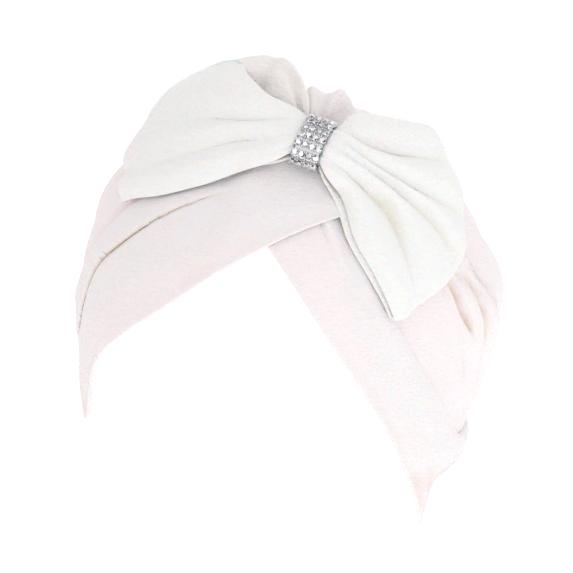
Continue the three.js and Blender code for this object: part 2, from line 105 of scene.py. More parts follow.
# Stone band
STRIP_HALF_WIDTH = 5.9
STRIP_WALL = 0.9
STRIP_HALF_HEIGHT = 10.55
STRIP_HALF_DEPTH = 6.95
STONE_COLUMNS = 4
STONE_ROWS = 9
STONE_ARC = 214.0

# Bands: turn from the front, and lower and upper edge in degrees above the widest level
TURN, LOW = range(2)
RIGHT_BAND = np.array([
    (-8, 23.4, 40),
    (0, 19.9, 41),
    (13, 11, 40),
    (25, 1.5, 30.5),
    (38, -8.4, 15.6),
    (46, -14.6, 7.2),
    (54, -21.6, 0.4),
    (60, -27.3, -3.5),
    (66, -32.3, -7.6),
    (69.6, -36, -9.9),
    (71.8, -38.4, -11.3),
    (73, -39.9, -12),
    (73.8, -40.4, -12.5),
    (74.4, -36.2, -13),
    (75.2, -31.6, -13.7),
    (77, -29.5, -14.9),
    (81, -28.2, -16.7),
    (86.5, -26.6, -18),
    (93, -25, -18),
    (100, -23.4, -17.2),
    (110, -22.2, -15.8),
    (124, -21, -14),
    (150, -19.5, -11.8),
    (179.8, -17.5, -11),
], float)
LEFT_BAND = np.array([
    (22, 31, 43),
    (10, 25.2, 43),
    (-1, 18.2, 43),
    (-13, 9.5, 42),
    (-26, -0.5, 37.5),
    (-38, -9, 30),
    (-47, -15.2, 23.2),
    (-52, -19.4, 18.4),
    (-55.5, -24, 14),
    (-57, -29.5, 11.6),
    (-59, -34.8, 9),
    (-61, -36.6, 6.8),
    (-64, -35.4, 4),
    (-68, -31.5, 0),
    (-73, -27.5, -4),
    (-80, -24, -8),
    (-88, -21, -11),
    (-100, -19.5, -12),
    (-118, -19.5, -12),
    (-145, -19, -11.5),
    (-179.8, -17.5, -11),
], float)

# Tuck along the left band and soft pleat in the right one: turn and rise
LEFT_TUCK = np.array([
    (-17, 30.4),
    (-21.7, 29),
    (-29.1, 25.4),
    (-36.8, 20.4),
    (-42.3, 16.1),
    (-48.7, 10.7),
    (-54.6, 6),
    (-57.9, 2.2),
    (-60.4, -1.7),
    (-62.5, -6),
    (-66, -11),
    (-72, -15),
    (-80, -17),
], float)
RIGHT_PLEAT = np.array([
    (13.6, 30.5),
    (14.7, 28.8),
    (16.1, 27),
    (18.2, 24.9),
    (20.4, 22.3),
    (23.4, 18.5),
    (26.9, 14.3),
    (32, 8),
], float)

# Crown pleats: bearing round the knot and rise in millimetres
CROWN_PLEATS = np.array([
    (-118, 1.2),
    (-100, 2.4),
    (-82, 1.6),
    (-62, 1.4),
    (-40, 1.4),
    (-18, 1.6),
    (4, 1.8),
    (28, 1),
    (50, 0.8),
    (70, 2.2),
    (87, 2.8),
    (96, 1.4),
    (104, 1.3),
    (122, 1.2),
], float)

# Crown swellings: bearing and its spread, reach and its run, swell, and how squarely they end
CROWN_SWELLS = np.array([
    (-2, 23, 17, 9.5, 7, 6),
    (-15, 7, 17, 9, 3.6, 2),
    (7.5, 9, 17, 9.5, 6.6, 2),
    (32, 7, 13, 6, 4, 4),
    (20, 34, 46, 22, -7.5, 2),
    (-76, 11, 66, 13, 2.5, 2),
    (86, 15, 72, 12, 3.5, 2),
    (0, 55, 112, 26, 4, 2),
], float)

# Deep gathers behind the right loop: reach and bearing along each valley
GATHER_VALLEYS = [
    np.array([(48, 98), (55.5, 99), (60.5, 99.8), (66, 99.3), (71.5, 98), (79, 96)], float),
    np.array([(53, 92), (60.5, 92), (68, 93), (72.5, 93.4), (77.5, 93.2), (86, 91.5)], float),
    np.array([(54, 88), (61, 88.5), (68, 88.3), (77, 86.8), (87, 85)], float),
]

# Spread and height of bumps: round a gather and in it, beside the left tuck, on and in the right
# pleat, and at each band's lower and upper edge, there as shares of its width
GATHER_SWELL = (6.0, 2.2)
GATHER_CREASE = (2.4, 6.4)
TUCK_GROOVE = (1.1, 0.5)
PLEAT_RIDGE = (2.2, 1.1)
PLEAT_GROOVE = (1.4, 1.0)
BAND_LOWER_ROLL = (0.07, 0.5)
LEFT_UPPER_ROLL = (0.07, 0.4)
RIGHT_UPPER_ROLL = (0.12, -1.6)

# The left tuck's height at its start, its loss further on and its reach, and the right tip's flare
TUCK_HEIGHT = 1.7
TUCK_LOSS = 0.5
TUCK_REACH = 10.0
TIP_FLARE = 5.0

# Where relief sets in or fades out on the crown: degrees above the bands, or of reach
CLEAR_OF_BANDS = (3, 10)
PLEATS_GROW = (10, 40)
PLEATS_FADE = (95, 135)
SWELLS_GROW = (3, 12)
WRINKLES_GROW = (6, 30)
KNOT_FOLDS_GROW = (4, 9)
KNOT_FOLDS_FADE = (16, 42)

# Where a gather, the tuck and the pleat set in or fade out, as shares of their lines
GATHER_GROWS = (0.0, 0.25)
GATHER_FADES = (0.55, 0.9)
TUCK_GROWS = (0.0, 0.3)
TUCK_SINKS = (0.45, 0.7)
TUCK_FADES = (0.86, 1.0)
PLEAT_GROWS = (0.0, 0.14)
PLEAT_FADES = (0.35, 1.0)

# Turns where the left band climbs and the right tip starts and ends, and how far down it flares
CROSSING_CLIMB = (-22, -10)
TIP_STARTS = (50, 66)
TIP_ENDS = (84, 96)
TIP_FLARES = (27, 42)

# Layers of noise: share, bearing and reach that one wave takes, and seed
CROWN_WRINKLES = ((1, 4.5, 32, 11), (0.6, 2.2, 18, 12))
KNOT_FOLDS = ((1, 7.5, 30, 21), (0.5, 3.6, 20, 22))

# Rows and columns of the cloth's grids
CROWN_ROWS = 108
CROWN_COLUMNS = 420
BAND_ROWS = 430
LOOP_STEPS = 66
LOOP_END_STEPS = 15
BUNDLE_ROWS = 31
BUNDLE_COLUMNS = 216

# How sharp the loops' folds are at the knot, at the quarters and at the end
FOLD_KEENNESS = (0.6, 1.0, 0.9, 0.6, 0.3)

# Layers of the bow's loops, fold by fold from the lower edge to the upper one. First the reach
# at the loop's end and how sharp the fold is, then five bearings and five lifts, at the knot, at
# the quarters and at the end.
REACH, SHARP, BEARING, LIFT = 0, 1, 2, 7
LEFT_LOOP_FRONT = np.array([
    (53.2, 0, -140, -121, -113.6, -107, -99.8, 11.4, 9.3, 7.7, 7.6, 7.9),
    (53, 0, -127, -110, -105, -101, -95, 16, 14, 12.8, 12, 11.2),
    (52, 0.5, -113, -98.7, -96.5, -94.5, -90.5, 16.6, 13.4, 12, 11.6, 11.4),
    (52, 0, -99, -90.5, -88.7, -87, -85.5, 17.6, 18, 17.2, 16, 14.6),
    (50.4, 0.8, -76, -84, -81.9, -79.5, -76.5, 17.6, 16.8, 16.4, 16.2, 16.2),
    (46.2, 0, -60, -73, -72, -68, -65.5, 18, 21.6, 23.2, 23.2, 22),
    (40.4, 0, -48, -62, -58.5, -50, -49, 17, 21.4, 24.2, 24, 22),
], float)
LEFT_LOOP_BACK = np.array([
    (53, 0, -132, -115, -110, -105, -99, 10.6, 8, 6.3, 6.2, 6.4),
    (52.8, 0, -116, -105, -101, -97.5, -94, 11, 9.4, 9, 8.8, 8.8),
    (51.6, 0, -100, -97, -94, -91.5, -89.5, 11, 10, 9.8, 9.6, 9.6),
    (50.4, 0, -80, -86, -86, -85, -84.5, 11, 11.4, 11.4, 11.2, 11),
    (47, 0, -56, -62, -68, -74, -75, 11, 13.4, 15.4, 15, 14),
    (41, 0, -32, -42, -54, -62, -65, 11, 16.6, 21.4, 20.4, 18),
    (36, 0, -15, -22, -35, -46, -49, 11, 18.9, 28, 26.4, 23),
], float)
RIGHT_LOOP_FRONT = np.array([
    (47.4, 0, 150, 131, 133.4, 130, 128.3, 13, 9.8, 8.4, 8, 8.2),
    (47.6, 0, 137, 125, 126, 125, 125.5, 17, 16, 14.2, 12.8, 10.6),
    (47.2, 0.6, 112, 114.5, 110.5, 115, 119.5, 16.6, 13, 10.6, 10.2, 10),
    (47.2, 0, 107, 108, 104.8, 107, 112, 17.5, 17.8, 17.4, 16, 13.4),
    (47.6, 0.6, 103, 104, 99.5, 97.5, 99.6, 16.8, 15.6, 13.8, 12.4, 11.8),
    (46.6, 0, 100, 100.5, 96.5, 93, 94, 17.6, 18.2, 17.8, 16.8, 14.8),
    (44.2, 1, 96, 98, 94.3, 89, 85, 16.8, 16, 15.2, 14.2, 13.8),
    (41, 0, 88, 91, 88, 83, 78.5, 18, 19.6, 20, 19.2, 17.6),
    (38, 1, 74, 81.5, 79.5, 74, 69, 16.8, 15.4, 14.8, 16.4, 16.6),
    (35, 0, 60, 68, 68, 65, 61, 18, 19.8, 20.6, 20.4, 18.8),
    (33, 0, 36, 45, 54, 56.5, 54.5, 17, 19.5, 20, 19.4, 18),
], float)
RIGHT_LOOP_BACK = np.array([
    (46.8, 0, 146, 137, 136.8, 132.2, 129, 11, 7.9, 6.8, 6.5, 6.6),
    (46.4, 0, 126, 124, 123.5, 122, 121, 11, 8.6, 7.6, 7.4, 7.6),
    (45.4, 0, 106, 105, 104.5, 104, 104, 11, 9.6, 9, 8.8, 8.8),
    (42, 0, 86, 86, 86, 86, 86, 11, 11.4, 11.4, 11.2, 11.2),
    (36.4, 0, 58, 64, 68, 70, 69, 11, 12, 12, 12, 12),
    (32, 0, 34, 42, 50, 54, 54, 11, 13, 13.5, 13.4, 13),
], float)

# Size of a loop's layer, and the creases inside a loop: side, face, place out and across at both
# ends, depth and spread
LAYER_SIZE = (75.0, 65.0)
LOOP_CREASES = np.array([
    (-1, -1, 0.46, 0.79, 0.6, 1, 4, 3),
    (-1, -1, 0.12, 0.85, 0.44, 0.94, 3.2, 1.7),
], float)

# Gathers at the knot: how many round the oval, share and phase
KNOT_GATHERS = [(6, 0.5, 0.4), (11, 0.5, 1.9), (19, 0.25, 4.0)]

# How much a millimetre between the folds counts towards the painted fold shade, on broad and on
# narrow ones
BROAD_GAIN = 0.24
NARROW_GAIN = 1.6

# Camera: direction, distance and the frame's place in the photograph
CAMERA_TURN = 9.0
CAMERA_RISE = 6.0
CAMERA_ROLL = 13.5
CAMERA_DISTANCE = 1.3
FRAME_PIXELS = 573.0
FOCUS_PIXELS = 2990.0
CENTRE_PIXEL = (288.0, 314.0)
SENSOR_WIDTH = 36.0

# Stage, in metres. Lights: name, place, target, size, power in watts and tint
HAT_MIDDLE = (0, 0, -0.09)
LIGHTS = [
    ("key_light", (1.3, -1.0, 1.1), HAT_MIDDLE, 0.9, 0.45, (0.97, 0.94, 1.0)),
    ("inside_light", (0, -0.01, -0.14), (0, 0.1, -0.118), 0.05, 0.15, (1.0, 1.0, 1.0)),
]
CARD_PLACE = (-0.55, -0.2, -0.05)
CARD_HALF_WIDTH = 0.45
CARD_TINT = (0.74, 0.70, 0.70)
FLOOR_LEVEL = -0.5
FLOOR_HALF_WIDTH = 9.0


def length_property(name, description, default, least, most):
    return bpy.props.FloatProperty(name=name, description=description, default=default,
                                   min=least, max=most, unit="LENGTH")


def colour_property(name, description, default):
    return bpy.props.FloatVectorProperty(name=name, description=description, default=default,
                                         size=3, min=0.0, max=1.0, subtype="COLOR")


class TurbanSizes(bpy.types.PropertyGroup):
    """Sizes of the turban hat's cloth and stones."""

    crown_wall: length_property(
        "Crown Wall", "Thickness of the crown's cloth", 0.0014, 0.0005, 0.003)
    band_wall: length_property(
        "Band Wall", "Thickness of the folded bands", 0.0019, 0.0005, 0.004)
    bow_wall: length_property(
        "Bow Wall", "Thickness of the bow's doubled cloth", 0.0014, 0.0005, 0.003)
    gather_depth: length_property(
        "Gather Depth", "Depth of the gathers beside the stone band", 0.0005, 0.0, 0.003)
    wrinkle_depth: length_property(
        "Wrinkle Depth", "Depth of the soft wrinkles between the folds", 0.0004, 0.0, 0.002)
    grain: length_property(
        "Grain", "Distance between the crepe's grains", 0.0011, 0.0004, 0.003)
    stone_radius: length_property(
        "Stone Radius", "Half width of a cut stone", 0.00143, 0.0005, 0.0016)


class TurbanColours(bpy.types.PropertyGroup):
    """Colours of the turban hat's cloth, of the shade painted into its folds, and of the stones'
    cups and the stage.
    """

    bow_crepe: colour_property(
        "Bow Crepe", "Colour of the bow's cloth", (0.89, 0.88, 0.874))
    cap_crepe: colour_property(
        "Cap Crepe", "Colour of the crown's and the bands' cloth", (0.866, 0.834, 0.848))
    # Painted shade: these colours are mixed into the cloth's own colour where a fold lies deep
    # and, a little, into the grain's hollows.
    bow_shade: colour_property(
        "Bow Shade", "Colour of the bow's cloth deep in its folds", (0.80, 0.745, 0.67))
    cap_shade: colour_property(
        "Cap Shade", "Colour of the cap's cloth deep in its folds", (0.78, 0.64, 0.54))
    metal: colour_property(
        "Metal", "Colour of the stones' cups", (0.92, 0.92, 0.93))
    floor: colour_property(
        "Floor", "Colour of the studio floor", (0.93, 0.93, 0.93))


def size_mm(key):
    """One of the hat's sizes in millimetres."""
    return getattr(bpy.context.scene.turban_sizes, key) * TO_MM


# Curves and the head form

def smooth(value, start, stop):
    """Step from 0 to 1 that eases in and out between start and stop."""
    part = np.clip((value - start) / (stop - start), 0.0, 1.0)
    return part * part * (3.0 - 2.0 * part)


def bump(distance, spread, height=1.0):
    """Rounded bump about a distance of 0."""
    return height * np.exp(-((distance / spread) ** 2))


def through(column, place):
    """Values on a smooth curve through a table's column, at places between its rows."""
    column = np.asarray(column, float)
    place = np.asarray(place, float)
    last = len(column) - 1
    row = np.clip(np.floor(place).astype(int), 0, last - 1)
    part = place - row
    if column.ndim > 1:
        part = part[:, None]
    before = column[np.maximum(row - 1, 0)]
    here = column[row]
    after = column[row + 1]
    beyond = column[np.minimum(row + 2, last)]
    bend = (after - before) / 2
    next_bend = (beyond - here) / 2
    square = part * part
    cube = square * part
    return (here * (2 * cube - 3 * square + 1) + bend * (cube - 2 * square + part)
            + after * (3 * square - 2 * cube) + next_bend * (cube - square))


def columns(table, place):
    """Each of a table's columns at places between its rows."""
    return [through(column, place) for column in table.T]


def folded(column, place, sharpness):
    """As through, but as sharp in the low rows as told and round over the high ones."""
    last = len(column) - 1
    row = np.clip(np.floor(place).astype(int), 0, last - 1)
    part = place - row
    here = column[row]
    after = column[row + 1]
    climbs = after >= here
    sharp = sharpness[np.where(climbs, row, row + 1)]
    climb = np.where(climbs, np.sin(part * math.pi / 2), 1 - np.cos(part * math.pi / 2))
    return through(column, place) * (1 - sharp) + (here + (after - here) * climb) * sharp


def place_of(keys, wanted):
    """Places between a table's rows where its key column has the wanted values."""
    rows = np.arange(len(keys))
    if keys[-1] < keys[0]:
        return np.interp(-np.asarray(wanted), -keys, rows)
    return np.interp(wanted, keys, rows)


def unit(vectors):
    return vectors / np.maximum(np.linalg.norm(vectors, axis=-1, keepdims=True), 1e-12)


def direction(turn, rise):
    """Unit vectors at a turn round the head and a rise above its widest level, in degrees."""
    turn, rise = np.broadcast_arrays(np.radians(turn), np.radians(rise))
    return np.stack([np.cos(rise) * np.sin(turn), -np.cos(rise) * np.cos(turn), np.sin(rise)], -1)


def turn_of(toward):
    """Turn round the head of unit vectors, in degrees."""
    return np.degrees(np.arctan2(toward[..., 0], -toward[..., 1]))


def rise_of(toward):
    """Rise of unit vectors above the widest level, in degrees."""
    return np.degrees(np.arcsin(np.clip(toward[..., 2], -1, 1)))


def on_head(toward, lift):
    """Points that stand off the head form by lift, in the given directions."""
    rise = np.arcsin(np.clip(toward[..., 2], -1, 1))
    turn = np.arctan2(toward[..., 0], -toward[..., 1])
    ring = np.cos(np.where(rise >= 0, rise, rise / 2))
    left, right = columns(FULLNESS[:, 1:], place_of(FULLNESS[:, 0], np.degrees(rise)))
    full = lift + np.where(turn < 0, left, right) * np.sin(turn) ** 2
    egg = 1 - HEAD_EGG * np.cos(turn)
    return np.stack([
        (HEAD_HALF_WIDTH + full) * egg * ring * np.sin(turn),
        -(HEAD_HALF_DEPTH + full) * ring * np.cos(turn),
        (HEAD_HALF_HEIGHT + lift) * np.sin(rise),
    ], -1)


knot_out = direction(KNOT_TURN, KNOT_RISE)
knot_side = np.array([math.cos(math.radians(KNOT_TURN)), math.sin(math.radians(KNOT_TURN)), 0.0])
knot_up = np.cross(knot_out, knot_side)
bow_tilt = Matrix.Rotation(math.radians(KNOT_TILT), 3, Vector(knot_out))
bow_along = np.array(bow_tilt @ Vector(knot_side))
bow_up = np.array(bow_tilt @ Vector(knot_up))
bow_centre = (on_head(knot_out, KNOT_LIFT) + KNOT_SHIFT_SIDE * knot_side
              + KNOT_SHIFT_UP * knot_up)


def from_knot(bearing, reach):
    """Unit vectors at a bearing round the knot and a reach away from it, in degrees."""
    angle = np.radians(bearing)[..., None]
    away = np.radians(reach)[..., None]
    return (np.cos(away) * knot_out + np.cos(angle) * np.sin(away) * knot_up
            + np.sin(angle) * np.sin(away) * knot_side)


def at_bow(along, up, out):
    """Points in the frame of the bow's centre."""
    return (bow_centre + np.asarray(along)[..., None] * bow_along
            + np.asarray(up)[..., None] * bow_up + np.asarray(out)[..., None] * knot_out)


def noise(x, y, seed):
    """Smooth noise from -1 to 1 over two coordinates."""
    table = np.random.default_rng(seed).uniform(-1, 1, (64, 64))
    column = np.floor(x).astype(int)
    row = np.floor(y).astype(int)
    across = x - column
    down = y - row
    across = across * across * (3 - 2 * across)
    down = down * down * (3 - 2 * down)
    low = table[row % 64, column % 64] * (1 - across) + table[row % 64, (column + 1) % 64] * across
    high = (table[(row + 1) % 64, column % 64] * (1 - across)
            + table[(row + 1) % 64, (column + 1) % 64] * across)
    return low * (1 - down) + high * down


def layered(bearing, reach, layers):
    """Sum of layers of noise over the crown."""
    return sum(share * noise(bearing / wide, reach / far, seed)
               for share, wide, far, seed in layers)


def beside(points, path):
    """Signed distance of points from a line over the cloth, and the place along it, 0 to 1."""
    best = np.full(points.shape[:-1], 1e9)
    signed = np.zeros(points.shape[:-1])
    place = np.zeros(points.shape[:-1])
    outward = unit(points)
    steps = len(path) - 1
    for step in range(steps):
        way = path[step + 1] - path[step]
        length = np.dot(way, way)
        offset = points - path[step]
        part = np.clip((offset @ way) / length, 0, 1)
        gap = offset - part[..., None] * way
        distance = np.linalg.norm(gap, axis=-1)
        side = np.sign(np.einsum("...i,...i->...", np.cross(outward, way), gap))
        nearer = distance < best
        best = np.where(nearer, distance, best)
        signed = np.where(nearer, side * distance, signed)
        place = np.where(nearer, (step + part) / steps, place)
    return signed, place


def finely(table, count):
    """Rows on a smooth curve through a table's rows."""
    place = np.linspace(0, len(table) - 1, count)
    return np.stack(columns(table, place), -1)


# Cloth meshes

def edge_places(count, near_edge, closeness):
    """Places from 0 to 1 with rows that crowd at both edges, where the cloth turns over."""
    inner = np.linspace(closeness, 1 - closeness, count)
    edge = closeness * (1 - np.cos(np.linspace(0, math.pi / 2, near_edge, endpoint=False)))
    return np.concatenate([edge, inner, 1 - edge[::-1]])


def outward_normals(grid, goes_round=False):
    """Normals that point away from the head over the grid's first columns."""
    if goes_round:
        across = np.roll(grid, -1, axis=1) - np.roll(grid, 1, axis=1)
    else:
        across = np.gradient(grid, axis=1)
    normals = unit(np.cross(np.gradient(grid, axis=0), across))
    outside = np.einsum("ijk,ijk->ij", normals[:, :60], unit(grid)[:, :60]).mean()
    return normals * np.sign(outside)


def lengths(grid, axis):
    """Distances along a grid's axis from its first row or column."""
    steps = np.linalg.norm(np.diff(grid, axis=axis), axis=-1)
    shape = list(grid.shape[:-1])
    shape[axis] = 1
    return np.concatenate([np.zeros(shape), np.cumsum(steps, axis=axis)], axis=axis)


def spread_out(values, passes, goes_round):
    """Values averaged over the grid, pass by pass, with their neighbours."""
    for _ in range(passes):
        padded = np.pad(values, [(1, 1)] + [(0, 0)] * (values.ndim - 1), mode="edge")
        values = (padded[:-2] + 2 * values + padded[2:]) / 4
        if goes_round:
            before, after = np.roll(values, 1, axis=1), np.roll(values, -1, axis=1)
        else:
            padded = np.pad(values, [(0, 0), (1, 1)] + [(0, 0)] * (values.ndim - 2), mode="edge")
            before, after = padded[:, :-2], padded[:, 2:]
        values = (before + 2 * values + after) / 4
    return values


def fold_depths(grid, normals, goes_round):
    """How deep the cloth lies between its folds, from 0 on the ridges to 1: the share of painted
    shade in the cloth's colour.
    """
    broad = spread_out(grid, 90, goes_round) - spread_out(grid, 2, goes_round)
    narrow = spread_out(grid, 12, goes_round) - spread_out(grid, 1, goes_round)
    depth = (np.einsum("ijk,ijk->ij", broad, normals) * BROAD_GAIN
             + np.maximum(np.einsum("ijk,ijk->ij", narrow, normals) - 0.03, 0) * NARROW_GAIN)
    return np.clip(depth, 0, 1)


def to_frame(points):
    """From millimetres about the head's middle to metres in the frame's axes."""
    return (points + np.array([0.0, 0.0, -HEAD_HALF_HEIGHT])) * TO_METRES


def linked(name, points, faces):
    """Object of points and faces, linked to the scene."""
    mesh = bpy.data.meshes.new(name)
    mesh.from_pydata(points, [], faces)
    piece = bpy.data.objects.new(name, mesh)
    bpy.context.scene.collection.objects.link(piece)
    return piece


def object_of(name, points, faces, uvs, depth):
    """Object with smooth faces, a UV map in metres and an attribute of painted shade, from how
    deep a fold lies.
    """
    piece = linked(name, points.tolist(), faces.tolist())
    mesh = piece.data
    corners = np.zeros(len(mesh.loops), int)
    mesh.loops.foreach_get("vertex_index", corners)
    layer = mesh.uv_layers.new(name="cloth")
    layer.data.foreach_set("uv", uvs[corners].ravel())
    # Painted shade: this attribute darkens the crepe's colour where a fold lies deep.
    attribute = mesh.attributes.new("fold_depth", "FLOAT", "POINT")
    attribute.data.foreach_set("value", depth)
    mesh.polygons.foreach_set("use_smooth", np.ones(len(mesh.polygons), bool))
    merge_and_face_out(piece)
    return piece


def start_editing(piece):
    """Opens one piece alone in Edit Mode."""
    bpy.ops.object.select_all(action="DESELECT")
    piece.select_set(True)
    bpy.context.view_layer.objects.active = piece
    bpy.ops.object.mode_set(mode="EDIT")


def merge_and_face_out(piece):
    """Merges doubles at edges and poles, and turns the faces outwards."""
    start_editing(piece)
    bpy.ops.mesh.select_all(action="SELECT")
    bpy.ops.mesh.remove_doubles(threshold=1e-6)
    bpy.ops.mesh.normals_make_consistent(inside=False)
    bpy.ops.object.mode_set(mode="OBJECT")
    piece.select_set(False)


def cloth_object(name, grid, half_wall, goes_round=False, inside=0.0):
    """Walled cloth about a grid of points. half_wall may taper to 0 where the cloth turns over,
    and inside sets how much shade is painted on its inner face, as if it lay deep in a fold."""
    normals = outward_normals(grid, goes_round)
    half = np.broadcast_to(half_wall, grid.shape[:2])[..., None]
    outer = grid + normals * half
    inner = grid - normals * half
    rows, columns = grid.shape[:2]
    clear = np.ones((rows, columns))
    clear[:3] = 0
    clear[-3:] = 0
    if not goes_round:
        clear[:, :3] = 0
        clear[:, -3:] = 0
    # Painted shade on the outer face, by how deep the cloth lies, none at the grid's edges.
    deep = fold_depths(grid, normals, goes_round) * clear
    # Painted shade on the inner face: a share set by inside, more where the inner face lies in a
    # hollow.
    inner_painted_shade = np.clip(fold_depths(grid, -normals, goes_round) + 1, 0, 2) * inside * clear
    fold = np.concatenate([deep.ravel(), inner_painted_shade.ravel()])
    uvs = np.stack([lengths(grid, 1).ravel(), lengths(grid, 0).ravel()], -1) * TO_METRES
    uvs = np.concatenate([uvs, uvs])
    points = np.concatenate([outer.reshape(-1, 3), inner.reshape(-1, 3)])
    index = np.arange(rows * columns).reshape(rows, columns)
    other = rows * columns
    here = index if goes_round else index[:, :-1]
    ahead = np.roll(index, -1, axis=1) if goes_round else index[:, 1:]
    front = np.stack([here[:-1], ahead[:-1], ahead[1:], here[1:]], -1).reshape(-1, 4)
    back = front[:, ::-1] + other
    rims = [np.stack([here[-1], ahead[-1], ahead[-1] + other, here[-1] + other], -1),
            np.stack([here[0], here[0] + other, ahead[0] + other, ahead[0]], -1)]
    if not goes_round:
        rims.append(np.stack([index[:-1, 0], index[1:, 0], index[1:, 0] + other,
                              index[:-1, 0] + other], -1))
        rims.append(np.stack([index[:-1, -1], index[:-1, -1] + other, index[1:, -1] + other,
                              index[1:, -1]], -1))
    faces = np.concatenate([front, back] + rims)
    return object_of(name, to_frame(points), faces, uvs, fold)


def dress(piece, finish, node):
    """Gives a piece its finish. It rides on the hat's one body in place of a CAD node, which is
    hidden.
    """
    piece.data.materials.append(finish)
    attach(piece, BODY)
    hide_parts(node)


# Crown

def band_level(turn, share):
    """Rise of a share of the bands' width, at turns where a band passes."""
    level = np.full(np.shape(turn), -90.0)
    for band in (RIGHT_BAND, LEFT_BAND):
        first, last = band[0, TURN], band[-1, TURN]
        low, high = columns(band[:, LOW:], place_of(band[:, TURN], turn))
        inside = (turn >= min(first, last) - 2) & (turn <= max(first, last) + 2)
        level = np.where(inside, np.maximum(level, low + (high - low) * share), level)
    return level


def rim_reach(bearing):
    """Reach from the knot to the crown's rim, which lies under the bands."""
    near = np.full(bearing.shape, 8.0)
    far = np.full(bearing.shape, 158.0)
    for _ in range(24):
        middle = (near + far) / 2
        toward = from_knot(bearing, middle)
        above = rise_of(toward) > band_level(turn_of(toward), CROWN_RIM_SHARE)
        near = np.where(above, middle, near)
        far = np.where(above, far, middle)
    return (near + far) / 2


def pleat_relief(bearing):
    """Height of the pleats, each steep at its start and falling off towards the next."""
    relief = np.zeros(bearing.shape)
    count = len(CROWN_PLEATS)
    for row in range(count):
        start, rise = CROWN_PLEATS[row]
        width = (CROWN_PLEATS[(row + 1) % count, 0] - start + 360) % 360
        away = (bearing - start + 360) % 360
        part = away / width
        height = smooth(part, 0, 0.12) * rise * (1 - 0.8 * smooth(part, 0.12, 1))
        relief = np.where(away < width, height, relief)
    return relief


def crown_grid():
    """Middle of the crown's cloth, row by row away from the knot."""
    bearing = np.linspace(-180, 180, CROWN_COLUMNS, endpoint=False)
    reach = rim_reach(bearing)[None, :] * np.linspace(0, 1, CROWN_ROWS)[:, None]
    bearing = np.broadcast_to(bearing, reach.shape)
    toward = from_knot(bearing, reach)
    turn = turn_of(toward)
    above = rise_of(toward) - band_level(turn, 1.0)
    clear = smooth(above, *CLEAR_OF_BANDS)
    grown = smooth(reach, *PLEATS_GROW) * (1 - 0.6 * smooth(reach, *PLEATS_FADE))
    sway = 2.2 * noise(reach / 26, bearing / 40 + 9, 3)
    lift = pleat_relief(bearing + sway) * grown
    for about, spread, away, run, swell, power in CROWN_SWELLS:
        aside = np.abs((bearing - about + 540) % 360 - 180)
        lift = lift + (swell * np.exp(-(aside / spread) ** power)
                       * np.exp(-(np.abs(reach - away) / run) ** power)
                       * smooth(reach, *SWELLS_GROW))
    base = on_head(toward, CROWN_LIFT + 3)
    for path in GATHER_VALLEYS:
        line = finely(path, 60)
        distance, place = beside(base, on_head(from_knot(line[:, 1], line[:, 0]), CROWN_LIFT + 3))
        fade = smooth(place, *GATHER_GROWS) * (1 - smooth(place, *GATHER_FADES))
        lift = lift + fade * (bump(distance, *GATHER_SWELL) - bump(distance, *GATHER_CREASE))
    lift = lift + (size_mm("wrinkle_depth") * smooth(reach, *WRINKLES_GROW)
                   * layered(bearing, reach, CROWN_WRINKLES))
    near = smooth(reach, *KNOT_FOLDS_GROW) * (1 - smooth(reach, *KNOT_FOLDS_FADE))
    lift = lift + near * 0.8 * layered(bearing, reach, KNOT_FOLDS)
    return on_head(toward, CROWN_LIFT + lift * clear)


# Bands

def band_grid(table, lift_at, relief_at, line):
    """Middle of a band's cloth, row by row along it, from its lower to its upper edge.

    The rows crowd beside a line along the cloth, so that its fold comes out crisp."""
    turn, low, high = columns(table, np.linspace(0, len(table) - 1, BAND_ROWS))
    order = np.argsort(line[:, 0])
    line_rise = np.interp(turn, line[order, 0], line[order, 1])
    share = np.clip((line_rise - low) / (high - low), 0.25, 0.9)
    for _ in range(8):
        padded = np.pad(share, 1, mode="edge")
        share = (padded[:-2] + padded[1:-1] + padded[2:]) / 3
    edge = edge_places(60, 5, 0.02)
    crowd = edge - 0.055 * np.sin(2 * math.pi * (edge - 0.5))
    below = np.minimum(crowd * 2, 1)[None, :]
    above = np.maximum(crowd * 2 - 1, 0)[None, :]
    across = share[:, None] * below + (1 - share[:, None]) * above
    rise = low[:, None] + (high - low)[:, None] * across
    turn = np.broadcast_to(turn[:, None], rise.shape)
    toward = direction(turn, rise)
    lift = lift_at(turn)
    base = on_head(toward, lift)
    return on_head(toward, lift + relief_at(base, turn, rise, across))


def edge_taper(grid, half_wall, axis):
    """Half thickness that rounds off to nothing at the first and last row of an axis."""
    run = lengths(grid, axis)
    total = np.take(run, [-1], axis=axis)
    gap = np.minimum(run, total - run)
    part = np.clip(gap / half_wall, 0, 1)
    return half_wall * np.sqrt(1 - (1 - part) ** 2)


def right_band_lift(turn):
    return np.full(turn.shape, BAND_LIFT)


def left_band_lift(turn):
    """The left band climbs where it crosses over the right one."""
    return BAND_LIFT + (CROSSING_LIFT - BAND_LIFT) * smooth(turn, *CROSSING_CLIMB)


def left_band_relief(base, turn, rise, across):
    """The tuck's fold with a groove under it, soft wrinkles, and edges that roll."""
    line = finely(LEFT_TUCK, 90)
    path = on_head(direction(line[:, 0], line[:, 1]), BAND_LIFT + 1)
    signed, place = beside(base, path)
    distance = -signed
    grown = smooth(place, *TUCK_GROWS) * (1 - smooth(place, *TUCK_FADES))
    over = smooth(distance, -0.6, 1.2) * bump(np.maximum(distance - 1.4, 0), TUCK_REACH)
    height = TUCK_HEIGHT - TUCK_LOSS * smooth(place, *TUCK_SINKS)
    relief = grown * (height * over - bump(distance + 0.8, *TUCK_GROOVE))
    relief = relief + size_mm("wrinkle_depth") * 0.8 * noise(
        across * 5 + turn / 30, turn / 15, seed=31)
    return relief + bump(across, *BAND_LOWER_ROLL) + bump(1 - across, *LEFT_UPPER_ROLL)


